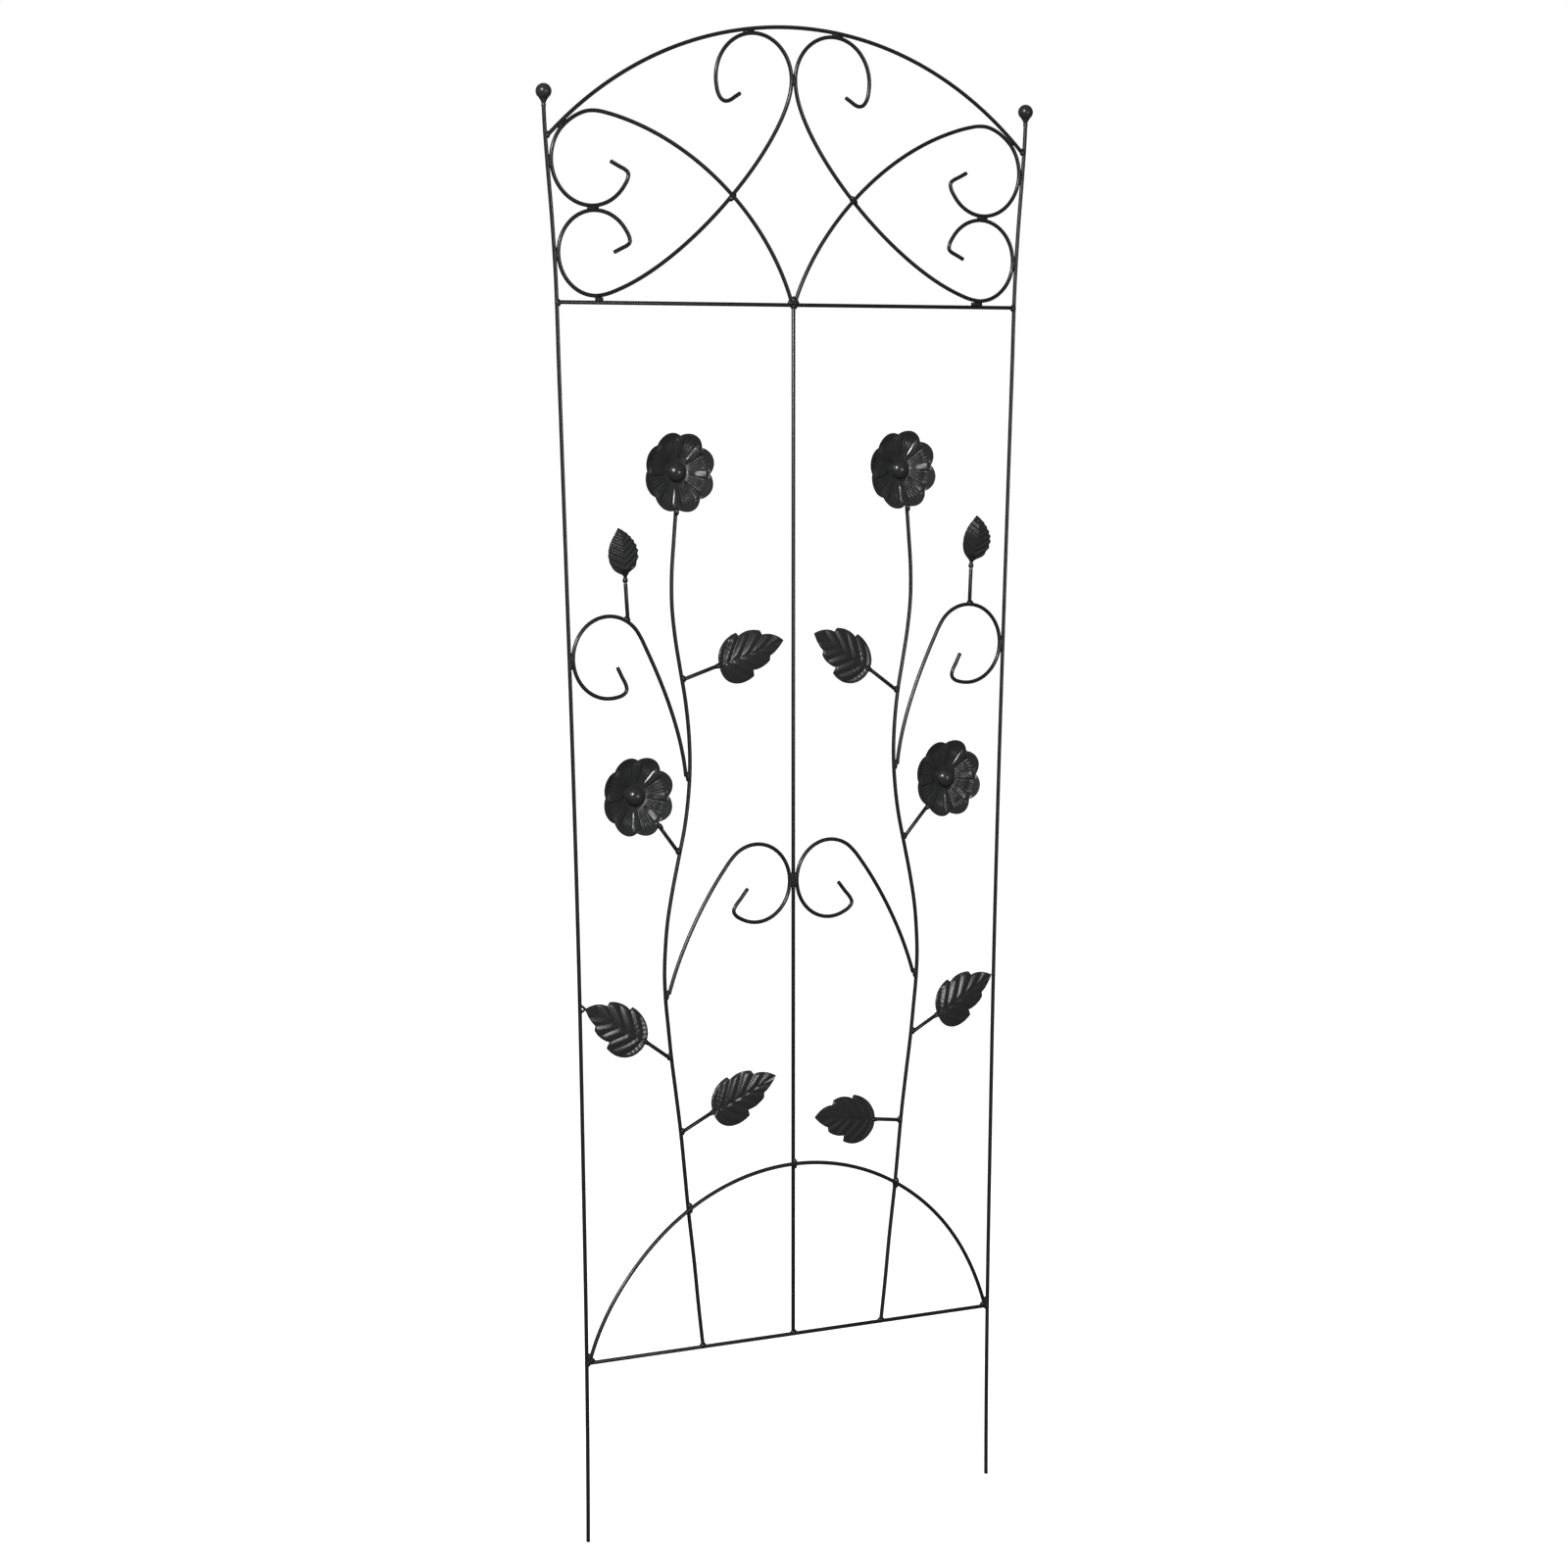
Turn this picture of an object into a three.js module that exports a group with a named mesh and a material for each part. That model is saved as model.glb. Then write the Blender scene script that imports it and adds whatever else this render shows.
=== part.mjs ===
// A welded metal trellis arch for climbing plants, in millimetres with +Z up.
// The panel stands in the XZ plane with its leg ends on Z = 0, and the flowers face -Y.
import * as THREE from "three";

// overall sizes
const height = 1502;          // leg ends to the top of the arch rod
const width = 572;            // over the two posts at their tops
const splay = 41.8;           // how far each post leans out from foot to top
const rod = 4;                // diameter of every rod
const gap = 0.3;              // clearance between pieces that touch

// crown
const archRise = 117;         // crest of the arch above its ends
const crownHeight = 273.6;    // crest of the arch above the upper crossbar
const postDrop = 86.5;        // crest of the arch above the top of a post
const topLoop = 44.2;         // radius of the two loops under the arch
const spacerHeight = 2;       // block between a heart scroll and the upper crossbar
const spacerWidth = { left: 7.6, right: 12 };
const spacerInset = 4;        // from the middle of a heart scroll's foot towards the centre

// field between the crossbars
const legLength = 181;        // lower crossbar above the leg ends
const lowerArchRise = 172.5;  // lower arch's crest above its ends
const sideLoop = 40.4;        // radius of the loops beside the posts
const middleLoop = 39.5;      // radius of the loops beside the centre bar

// ornaments
const flowerRadius = 40.5;
const flowerNotch = 37;       // radius between two petals
const flowerDepth = 6;        // folds' ends, on the panel plane, in front of the middle
const petalRise = 2.6;        // a petal's edge in front of the folds between the petals
const petals = 8;
const bossRadius = 11.3;
const bossHeight = 9;
const sheet = 1.2;            // thickness of pressed flowers and leaves
const leafLength = 77.6;
const leafHalfWidth = 25.5;
const leafOverhang = 5.5;     // least room for a base lobe and a stalk beside a stem
const leafShort = 4;          // most that the left outer leaf's tip ends before its post
const budLength = 45;
const budNeck = 4;            // narrow foot of a bud, above its knot
const budHalfWidth = 17.5;
const budStalk = 34.5;
const neckWidth = 3;          // of a leaf or bud where its stalk meets it
const knotRadius = 2.8;
const ballRadius = 8;
const collarHeight = 5.5;
const collarRadius = 3.4;

const paint = { color: 0x232427, roughness: 0.38, metalness: 0.25 };
const sides = 8;              // facets round a rod
const turnStep = 15;          // degrees between two sections of a loop

const pitch = rod + gap;      // centre distance of two rods that touch
const crestZ = height - rod / 2;
const crossbarZ = crestZ - crownHeight;
const postTopZ = crestZ - postDrop;
const postTopX = width / 2 - rod / 2;
const footX = postTopX - splay;

// The scroll work is drawn for this panel and stretches with it.
const drawn = { postX: 284.3, field: 1045.9 };
const across = (x) => x * postTopX / drawn.postX;
const up = (z) => legLength + z * (crossbarZ - legLength) / drawn.field;

const model = new THREE.Group();

function addPiece(name, geometry) {
  const mesh = new THREE.Mesh(geometry, new THREE.MeshStandardMaterial(paint));
  mesh.name = name;
  model.add(mesh);
  return mesh;
}

// ---- curves in the panel plane ----

const at = (x, z, y = 0) => new THREE.Vector3(x, y, z);
const radians = THREE.MathUtils.degToRad;
const flip = (points) => points.map((p) => at(-p.x, p.z, p.y));

// A route whose sections fall on its own points, so tight bends get more of them.
class Route extends THREE.CatmullRomCurve3 {
  getUtoTmapping(u) {
    return u;
  }
}

// The unit vector that points at an angle, in degrees from +X towards +Z.
const heading = (angle) => at(Math.cos(radians(angle)), Math.sin(radians(angle)));
const onCircle = (centre, radius, angle) => centre.clone().addScaledVector(heading(angle), radius);

// Part of a circle, from one angle to another in degrees.
function arc(centre, radius, from, to) {
  const steps = Math.round(Math.abs(to - from) / turnStep);
  const step = (to - from) / steps;
  return Array.from({ length: steps + 1 }, (_, i) => onCircle(centre, radius, from + step * i));
}

// A smooth run from one point to another; each end has a direction in degrees and a reach.
// lift bulges the run along Y so that it can pass another rod.
function run(start, startAngle, startReach, end, endAngle, endReach, steps, lift = 0) {
  const curve = new THREE.CubicBezierCurve3(
    start,
    onCircle(start, startReach, startAngle),
    onCircle(end, -endReach, endAngle),
    end,
  );
  const points = curve.getPoints(steps);
  points.forEach((p, i) => { p.y += lift * Math.sin(Math.PI * i / steps); });
  return points;
}

const last = (points) => points[points.length - 1];

// The end of a scroll beyond its loop's last angle: a tight bend, then a short straight tail.
function tail(centre, radius, angle, turn, bend, length) {
  const pivot = onCircle(centre, radius - bend, angle);
  const points = [0.34, 0.67, 1].map((share) => onCircle(pivot, bend, angle + turn * share));
  const way = angle + turn + Math.sign(turn) * 90;
  return [...points, onCircle(last(points), length / 2, way), onCircle(last(points), length, way)];
}

// ---- pieces made of rod ----

function section() {
  const corners = Array.from({ length: sides }, (_, i) => {
    const angle = 2 * Math.PI * (i + 0.5) / sides;
    return new THREE.Vector2(Math.cos(angle), Math.sin(angle)).multiplyScalar(rod / 2);
  });
  return new THREE.Shape(corners);
}

function rodGeometry(points) {
  return new THREE.ExtrudeGeometry(section(), {
    steps: points.length - 1,
    extrudePath: new Route(points, false, "centripetal"),
    bevelEnabled: false,
  });
}

function addRod(name, points) {
  addPiece(name, rodGeometry(points));
}

function addRodPair(name, points) {
  addRod(`right_${name}`, points);
  addRod(`left_${name}`, flip(points));
}

// Where a curve passes a height, with its direction there.
function passing(curve, z) {
  let low = 0;
  let high = 1;
  for (let i = 0; i < 40; i += 1) {
    const middle = (low + high) / 2;
    if (curve.getPoint(middle).z < z) low = middle;
    else high = middle;
  }
  return { point: curve.getPoint(low), tangent: curve.getTangent(low) };
}

// The end of a rod that butts against another one on its way to a target.
function butt(onto, target) {
  const way = target.clone().sub(onto.point).normalize();
  const along = Math.abs(way.dot(onto.tangent));
  const aside = Math.sqrt(1 - along * along);
  return onto.point.clone().addScaledVector(way, (rod / 2 + gap + rod / 2 * along) / aside);
}

// ---- posts and their balls ----

const postPoints = [
  at(footX, 0),
  at(footX, legLength * 0.5),
  at(footX + splay * 0.016, legLength),
  at(footX + splay * 0.08, up(179)),
  at(footX + splay * 0.17, up(379)),
  at(footX + splay * 0.3, up(579)),
  at(footX + splay * 0.46, up(779)),
  at(footX + splay * 0.63, up(979)),
  at(footX + splay * 0.72, crossbarZ + crownHeight * 0.13),
  at(footX + splay * 0.8, crossbarZ + crownHeight * 0.3),
  at(footX + splay * 0.9, crossbarZ + crownHeight * 0.47),
  at(footX + splay * 0.97, crossbarZ + crownHeight * 0.6),
  at(postTopX, postTopZ),
];
const post = new THREE.CatmullRomCurve3(postPoints, false, "centripetal");
const postX = (z) => passing(post, z).point.x;
const postLine = post.getPoints(600);

// The x at which a circle of this reach just touches the post's centre line, from inside.
function besidePost(z, reach) {
  let x = postX(z) - reach;
  for (let i = 0; i < 6; i += 1) {
    const nearest = Math.min(...postLine.map((p) => Math.hypot(p.x - x, p.z - z)));
    x += nearest - reach;
  }
  return x;
}

function addPosts() {
  addRodPair("post", postPoints);
  const collar = [
    new THREE.Vector2(0, 0),
    new THREE.Vector2(rod / 2, 0),
    new THREE.Vector2(collarRadius * 0.72, collarHeight * 0.4),
    new THREE.Vector2(collarRadius, collarHeight),
    new THREE.Vector2(0, collarHeight),
  ];
  const flatZ = -Math.sqrt(ballRadius ** 2 - collarRadius ** 2);
  const ball = [new THREE.Vector2(0, flatZ)];
  const flatAngle = Math.atan2(flatZ, collarRadius);
  const rings = 7;
  for (let i = 0; i < rings; i += 1) {
    const angle = flatAngle + (Math.PI / 2 - flatAngle) * i / rings;
    ball.push(new THREE.Vector2(Math.cos(angle), Math.sin(angle)).multiplyScalar(ballRadius));
  }
  ball.push(new THREE.Vector2(0, ballRadius));
  for (const [side, x] of [["left", -postTopX], ["right", postTopX]]) {
    const collarShape = new THREE.LatheGeometry(collar, 12).rotateX(Math.PI / 2);
    const ballShape = new THREE.LatheGeometry(ball, 14).rotateX(Math.PI / 2);
    const neck = addPiece(`${side}_finial_collar`, collarShape);
    neck.position.set(x, 0, postTopZ + gap);
    const finial = addPiece(`${side}_finial_ball`, ballShape);
    finial.position.set(x, 0, postTopZ + gap + collarHeight + gap - flatZ);
  }
}

// ---- arch, bars and lower arch ----

const archEndX = postX(crestZ - archRise);
const archRadius = (archEndX ** 2 + archRise ** 2) / (2 * archRise);
const archCentre = at(0, crestZ - archRadius);

function addArch() {
  const reach = archEndX - pitch / 2 - rod / 3;
  const end = 90 - THREE.MathUtils.radToDeg(Math.asin(reach / archRadius));
  const steps = 26;
  const points = Array.from({ length: steps + 1 }, (_, i) => {
    const angle = radians(180 - end + (2 * end - 180) * i / steps);
    return at(archRadius * Math.cos(angle), archCentre.z + archRadius * Math.sin(angle));
  });
  addRod("top_arch", points);
}

function addBars() {
  for (const [name, z] of [["upper_crossbar", crossbarZ], ["lower_crossbar", legLength]]) {
    const x = postX(z) - rod / 2 - gap;
    addRod(name, [at(-x, z), at(x, z)]);
  }
  const inset = rod / 2 + gap;
  addRod("centre_bar", [at(0, legLength + inset), at(0, crossbarZ - inset)]);
}

// The lower arch stands in the two bottom corners and bows forward past the stems and bar.
function addLowerArch() {
  const endX = postX(legLength) - rod - 1.5 * gap;
  const endZ = legLength + pitch;
  const radius = (endX ** 2 + lowerArchRise ** 2) / (2 * lowerArchRise);
  const centreZ = endZ + lowerArchRise - radius;
  const endAngle = THREE.MathUtils.radToDeg(Math.asin(endX / radius));
  const easing = 30;
  const steps = 28;
  const points = Array.from({ length: steps + 1 }, (_, i) => {
    const angle = endAngle * (2 * i / steps - 1);
    const share = Math.min(1, (endAngle - Math.abs(angle)) / easing);
    const forward = pitch * share * share * (3 - 2 * share);
    return at(radius * Math.sin(radians(angle)), centreZ + radius * Math.cos(radians(angle)), -forward);
  });
  addRod("lower_arch", points);
}

// ---- scrolls ----

const topReach = archRadius - pitch - topLoop;

const heartTop = at(topLoop + pitch / 2, 0);
heartTop.z = archCentre.z + Math.sqrt(topReach ** 2 - heartTop.x ** 2);

const crownLoop = at(postTopX - topLoop - pitch, 0);
for (let i = 0; i < 6; i += 1) {
  crownLoop.z = archCentre.z + Math.sqrt(topReach ** 2 - crownLoop.x ** 2);
  crownLoop.x = besidePost(crownLoop.z, topLoop + pitch);
}

const heartFootZ = crossbarZ + rod + 2 * gap + spacerHeight;
const heartFoot = (crownLoop.z - topLoop - pitch - heartFootZ) / 2;
const heartLow = at(besidePost(heartFootZ + heartFoot, heartFoot + pitch), heartFootZ + heartFoot);

function addHearts() {
  const upper = arc(heartTop, topLoop, -24, 189);
  const lower = arc(heartLow, heartFoot, -105, 160);
  addRodPair("heart_scroll", [
    ...tail(heartTop, topLoop, -24, -97, 9, 13.5).reverse(),
    ...upper,
    ...run(last(upper), -83, 62, lower[0], -15, 90, 16, pitch / 2).slice(1, -1),
    ...lower,
    ...tail(heartLow, heartFoot, 160, 84, 4.5, 17),
  ]);
}

function addSpacers() {
  for (const [side, way] of [["left", -1], ["right", 1]]) {
    const shape = new THREE.BoxGeometry(spacerWidth[side], rod, spacerHeight);
    const place = at(way * (heartLow.x - spacerInset), crossbarZ + rod / 2 + gap + spacerHeight / 2);
    addPiece(`${side}_spacer`, shape).position.copy(place);
  }
}

function addCrowns() {
  const start = at(0.6 * pitch, crossbarZ + pitch);
  const crest = at(crownLoop.x - 20, crownLoop.z + topLoop + 0.5);
  const loop = arc(crownLoop, topLoop, 55, -160);
  addRodPair("crown_scroll", [
    ...run(start, 70, 86, crest, 12.5, 98, 15, -pitch / 2),
    ...run(crest, 12.5, 20, loop[0], -35, 20, 4).slice(1, -1),
    ...loop,
    ...tail(crownLoop, topLoop, -160, -84, 4.5, 19.5),
  ]);
}

const upperFlowerZ = up(880.5);
const lowerFlowerZ = up(561.5);

// x and z of each flower's middle and the petals' turn in degrees; the lower two have a stalk.
const flowers = [
  { name: "left_upper_flower", side: -1, x: across(-133.4), z: upperFlowerZ, turn: -3 },
  { name: "right_upper_flower", side: 1, x: across(132.1), z: upperFlowerZ, turn: 7 },
  { name: "left_lower_flower", side: -1, x: across(-182), z: lowerFlowerZ, turn: -1, stalk: true },
  { name: "right_lower_flower", side: 1, x: across(190.2), z: lowerFlowerZ, turn: 4, stalk: true },
];

// How much smaller a flower is at an angle from a notch, as a share of its radius.
function petalInset(angle) {
  const lobe = Math.abs(Math.sin(petals * angle / 2));
  return (1 - flowerNotch / flowerRadius) * (1 - lobe ** 0.7);
}

// How far out a flower reaches towards a point, over the width of a rod.
function petalReach(flower, target) {
  const angle = Math.atan2(flower.z - target.z, target.x - flower.x) + radians(flower.turn);
  const spread = rod / 2 / flowerNotch;
  const insets = [-1, 0, 1].map((way) => petalInset(angle + way * spread));
  return flowerRadius * (1 - Math.min(...insets)) + gap;
}

const stemTop = at(across(137.8), upperFlowerZ - flowerRadius);
const stemReach = Math.max(
  petalReach(flowers[0], flip([stemTop])[0]),
  petalReach(flowers[1], stemTop),
);

const stemPoints = [
  at(across(108.2), legLength + rod / 2 + gap),
  at(across(112.8), up(39)),
  at(across(118.2), up(88)),
  at(across(125.3), up(144)),
  at(across(129), up(179)),
  at(across(133.7), up(222)),
  at(across(138.8), up(259)),
  at(across(144.5), up(299)),
  at(across(148), up(330)),
  at(across(150.7), up(355)),
  at(across(152), up(382)),
  at(across(151), up(408)),
  at(across(148.6), up(433)),
  at(across(143.2), up(463)),
  at(across(135), up(499)),
  at(across(128), up(530)),
  at(across(123.8), up(560)),
  at(across(122), up(592)),
  at(across(123), up(619)),
  at(across(127.3), up(656)),
  at(across(133.2), up(687)),
  at(across(139), up(719)),
  at(across(142.4), up(749)),
  at(across(142.6), up(779)),
  at(across(140), up(815)),
  at(across(138.7), up(831)),
  at(stemTop.x, upperFlowerZ - stemReach),
];
const stem = new THREE.CatmullRomCurve3(stemPoints, false, "centripetal");

const sideCentre = at(0, up(700.5));
sideCentre.x = besidePost(sideCentre.z, sideLoop + pitch);

function addSideScrolls() {
  const joint = passing(stem, up(579)).point;
  const start = at(joint.x + pitch, joint.z);
  const loop = arc(sideCentre, sideLoop, 152, -114);
  addRodPair("side_scroll", [
    ...run(start, 84, 50, loop[0], 61, 42, 9).slice(0, -1),
    ...loop,
    ...tail(sideCentre, sideLoop, -114, -94, 6, 21),
  ]);
}

const middleCentre = at(middleLoop + pitch, up(467));

function addMiddleScrolls() {
  const joint = passing(stem, up(362)).point;
  const start = at(joint.x - pitch, joint.z);
  const loop = arc(middleCentre, middleLoop, 42, 310);
  addRodPair("middle_scroll", [
    ...run(start, 107, 56, loop[0], 132, 36, 8).slice(0, -1),
    ...loop,
    ...tail(middleCentre, middleLoop, 310, 90, 5, 24),
  ]);
}

// ---- flowers ----

// Forward distance of the dish at a radius, from its middle.
function dish(radius) {
  const share = Math.max(0, (radius - bossRadius) / (flowerRadius - bossRadius));
  return flowerDepth * share ** 1.2;
}

// A pressed dish turned about Y, then drawn in between its petals; the notches start at angle 0.
function flowerGeometry(turn) {
  const rings = [bossRadius, 20, 31, flowerRadius];
  const front = rings.map((r) => new THREE.Vector2(r, dish(r)));
  const back = rings.map((r) => new THREE.Vector2(r, dish(r) - sheet));
  const profile = [new THREE.Vector2(0, -sheet), ...back, ...front.reverse(), new THREE.Vector2(0, 0)];
  const geometry = new THREE.LatheGeometry(profile, petals * 4);
  const place = geometry.attributes.position;
  for (let i = 0; i < place.count; i += 1) {
    const angle = Math.atan2(place.getZ(i), place.getX(i)) + radians(turn);
    const radius = Math.hypot(place.getX(i), place.getZ(i));
    const inset = petalInset(angle);
    const outward = Math.min(1, radius / flowerRadius);
    place.setX(i, place.getX(i) * (1 - inset * outward));
    place.setZ(i, place.getZ(i) * (1 - inset * outward));
    const rise = petalRise * Math.abs(Math.sin(petals * angle / 2));
    place.setY(i, place.getY(i) + rise * outward ** 4);
  }
  return geometry.rotateX(Math.PI);
}

function bossGeometry() {
  const steps = 4;
  const radius = bossRadius - 1;
  const profile = [new THREE.Vector2(0, 0)];
  for (let i = 0; i <= steps; i += 1) {
    const angle = Math.PI / 2 * i / steps;
    profile.push(new THREE.Vector2(radius * Math.cos(angle), bossHeight * Math.sin(angle)));
  }
  return new THREE.LatheGeometry(profile, 14).rotateX(Math.PI);
}

function addFlowers() {
  for (const flower of flowers) {
    addPiece(flower.name, flowerGeometry(flower.turn)).position.set(flower.x, flowerDepth, flower.z);
    const boss = addPiece(`${flower.name}_boss`, bossGeometry());
    boss.position.set(flower.x, flowerDepth - gap, flower.z);
  }
}

// A stem's centre line on one side, as passing() gives it.
function stemAt(side, z) {
  const found = passing(stem, z);
  return side > 0 ? found : { point: flip([found.point])[0], tangent: flip([found.tangent])[0] };
}

function addFlowerStalks() {
  for (const flower of flowers.filter((f) => f.stalk)) {
    const onto = stemAt(flower.side, up(502));
    const middle = at(flower.x, flower.z);
    const toStem = onto.point.clone().sub(middle).normalize();
    const end = middle.clone().addScaledVector(toStem, petalReach(flower, onto.point));
    addRod(`${flower.name}_stalk`, [butt(onto, end), end]);
  }
}

// ---- leaves and buds ----

// Half outlines, as shares of a leaf's length and half width; a leaf's lower lobes reach further.
const upperEdge = [[0.01, 0.3], [0.07, 0.66], [0.19, 0.89], [0.365, 0.96], [0.39, 0.82],
  [0.54, 0.88], [0.705, 0.69], [0.72, 0.51], [0.87, 0.3]];
const lowerEdge = [[0, 0.3], [0.06, 0.67], [0.17, 0.95], [0.32, 1.03], [0.46, 0.93], [0.465, 0.68],
  [0.6, 0.7], [0.735, 0.55], [0.755, 0.37], [0.88, 0.21]];
const budEdge = [[0.08, 0.5], [0.2, 0.92], [0.38, 1], [0.55, 0.92], [0.72, 0.66], [0.88, 0.33]];

// A leaf with its base on the origin and its tip on +X; a neck moves it along.
function leafGeometry(upper, lower, length, halfWidth, neck = 0) {
  const outline = new THREE.Shape();
  const spot = ([along, out], way) => [neck + length * along, halfWidth * out * way];
  outline.moveTo(0, -neckWidth / 2);
  if (neck > 0) outline.lineTo(neck, -neckWidth / 2);
  lower.forEach((point) => outline.lineTo(...spot(point, -1)));
  outline.lineTo(neck + length, 0);
  [...upper].reverse().forEach((point) => outline.lineTo(...spot(point, 1)));
  if (neck > 0) outline.lineTo(neck, neckWidth / 2);
  outline.lineTo(0, neckWidth / 2);
  return plate(outline);
}

// A flat plate of sheet in the panel plane, its outline's x along the leaf.
function plate(outline) {
  const options = { depth: sheet, bevelEnabled: false };
  return new THREE.ExtrudeGeometry(outline, options).translate(0, 0, -sheet / 2).rotateX(Math.PI / 2);
}

// tip is how far the plate's far end comes forward of its base, in degrees.
function addPlate(name, geometry, base, angle, tip = 0) {
  const mesh = addPiece(name, geometry.rotateZ(-radians(tip)));
  mesh.position.copy(base);
  mesh.rotation.y = -radians(angle);
}

// Each leaf has its side, the place of its tip, how far that is in front of the panel, the way it
// points in degrees and its stalk's height on the stem. The right outer one reaches its post.
const touchPost = (z) => postX(z) - rod / 2 - gap;
const outerRoom = touchPost(up(355)) - passing(stem, up(310)).point.x;
const leafRoom = leafLength * Math.cos(radians(29)) + leafOverhang + rod;
const tipShort = Math.max(0, Math.min(leafShort, outerRoom - leafRoom));
const leaves = [
  ["left_upper_inner_leaf", -1, at(-13.6, up(711.3), -3.5), 17.1, up(675.3)],
  ["right_upper_inner_leaf", 1, at(23.3, up(716.9), -3.5), 150.8, up(654.2)],
  ["left_outer_leaf", -1, at(-touchPost(up(355)) + tipShort, up(355)), 151, up(296.4)],
  ["right_outer_leaf", 1, at(touchPost(up(352)), up(352)), 27.7, up(298.5)],
  ["left_lower_inner_leaf", -1, at(-25.4, up(270.6), -8), 24.3, up(221)],
  ["right_lower_inner_leaf", 1, at(21.5, up(222.9), -8), 172.7, up(208.9)],
];

function addLeaves() {
  for (const [name, side, tip, angle, stemZ] of leaves) {
    const rise = Math.asin(-tip.y / leafLength);
    const base = onCircle(tip, -leafLength * Math.cos(rise), angle).setY(0);
    const edges = tip.x > base.x ? [upperEdge, lowerEdge] : [lowerEdge, upperEdge];
    const geometry = leafGeometry(...edges, leafLength, leafHalfWidth);
    addPlate(name, geometry, base, angle, THREE.MathUtils.radToDeg(rise));
    const onto = stemAt(side, stemZ);
    const toBase = base.clone().sub(onto.point).normalize();
    const end = base.clone().addScaledVector(toBase, -gap - rod / 4);
    addRod(`${name}_stalk`, [butt(onto, end), end]);
  }
}

// Each bud stands on a side scroll, at an angle round its loop; lean and turn tilt its stalk and leaf.
const buds = [
  { name: "left_bud", side: -1, around: 122, lean: -4, turn: 9 },
  { name: "right_bud", side: 1, around: 87, lean: 2.6, turn: -8 },
];

function addBuds() {
  for (const bud of buds) {
    const place = onCircle(sideCentre, sideLoop, bud.around);
    const foot = at(bud.side * place.x, place.z);
    const slope = Math.abs(Math.cos(radians(bud.around)));
    const lean = heading(90 - bud.lean);
    const start = foot.clone().addScaledVector(lean, (rod / 2 + gap) * (1 + slope));
    const end = start.clone().addScaledVector(lean, budStalk);
    addRod(`${bud.name}_stalk`, [start, end]);
    const knotCentre = end.clone().addScaledVector(lean, gap + knotRadius);
    const knot = addPiece(`${bud.name}_knot`, new THREE.SphereGeometry(knotRadius, 10, 6));
    knot.position.copy(knotCentre);
    const base = knotCentre.clone().addScaledVector(lean, knotRadius + gap);
    const geometry = leafGeometry(budEdge, budEdge, budLength, budHalfWidth, budNeck);
    addPlate(bud.name, geometry, base, 90 + bud.turn);
  }
}

addPosts();
addArch();
addBars();
addLowerArch();
addHearts();
addSpacers();
addCrowns();
addRodPair("stem", stemPoints);
addSideScrolls();
addMiddleScrolls();
addFlowers();
addFlowerStalks();
addLeaves();
addBuds();

export default model;
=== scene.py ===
from math import cos, exp, hypot, pi, radians, sin

import bmesh
import bpy
from mathutils import Matrix, Vector, geometry, noise


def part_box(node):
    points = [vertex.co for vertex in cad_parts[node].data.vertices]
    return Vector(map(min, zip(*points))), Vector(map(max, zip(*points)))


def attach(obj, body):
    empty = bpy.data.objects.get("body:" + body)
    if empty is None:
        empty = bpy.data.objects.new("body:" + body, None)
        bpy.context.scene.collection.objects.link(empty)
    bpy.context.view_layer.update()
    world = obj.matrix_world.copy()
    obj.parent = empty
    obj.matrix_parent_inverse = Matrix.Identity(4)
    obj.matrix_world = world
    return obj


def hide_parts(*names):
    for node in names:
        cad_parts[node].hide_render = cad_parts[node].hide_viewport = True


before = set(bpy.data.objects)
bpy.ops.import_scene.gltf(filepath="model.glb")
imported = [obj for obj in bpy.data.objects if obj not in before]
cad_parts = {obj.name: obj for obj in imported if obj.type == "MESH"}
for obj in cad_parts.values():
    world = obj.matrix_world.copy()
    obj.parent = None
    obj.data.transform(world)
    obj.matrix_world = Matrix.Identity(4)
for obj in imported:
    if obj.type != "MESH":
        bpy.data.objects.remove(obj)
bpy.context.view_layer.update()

mm = 0.001
root = "root"
forward = Vector((0, -1, 0))     # the side that the flowers face


class Wire:
    # A socket that can be used in sums; every sum adds one Math node.
    def __init__(self, coat, socket):
        self.coat = coat
        self.socket = socket

    def maths(self, operation, first, second):
        return self.coat.node("ShaderNodeMath", {"operation": operation}, {0: first, 1: second})

    def __add__(self, other):
        return self.maths("ADD", self, other)

    def __radd__(self, other):
        return self.maths("ADD", other, self)

    def __sub__(self, other):
        return self.maths("SUBTRACT", self, other)

    def __rsub__(self, other):
        return self.maths("SUBTRACT", other, self)

    def __mul__(self, other):
        return self.maths("MULTIPLY", self, other)

    def __rmul__(self, other):
        return self.maths("MULTIPLY", other, self)


class Coat:
    # The nodes of one material or world, added by kind, settings and inputs.
    def __init__(self, holder):
        self.holder = holder
        holder.use_nodes = True
        self.tree = holder.node_tree

    def feed(self, socket, value):
        if isinstance(value, Wire):
            self.tree.links.new(value.socket, socket)
        else:
            socket.default_value = value

    def node(self, kind, settings, inputs, output=0):
        made = self.tree.nodes.new(kind)
        for name, value in settings.items():
            setattr(made, name, value)
        for name, value in inputs.items():
            self.feed(made.inputs[name], value)
        return Wire(self, made.outputs[output])

    def grain(self, size, detail=2.0, roughness=0.5):
        # Noise whose lumps are about this wide, in metres.
        place = self.node("ShaderNodeTexCoord", {}, {}, "Object")
        return self.node("ShaderNodeTexNoise", {}, {
            "Vector": place, "Scale": 1 / size, "Detail": detail, "Roughness": roughness})

    def finish(self, **sockets):
        for name, value in sockets.items():
            self.feed(self.tree.nodes["Principled BSDF"].inputs[name.replace("_", " ")], value)
        return self.holder


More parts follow.
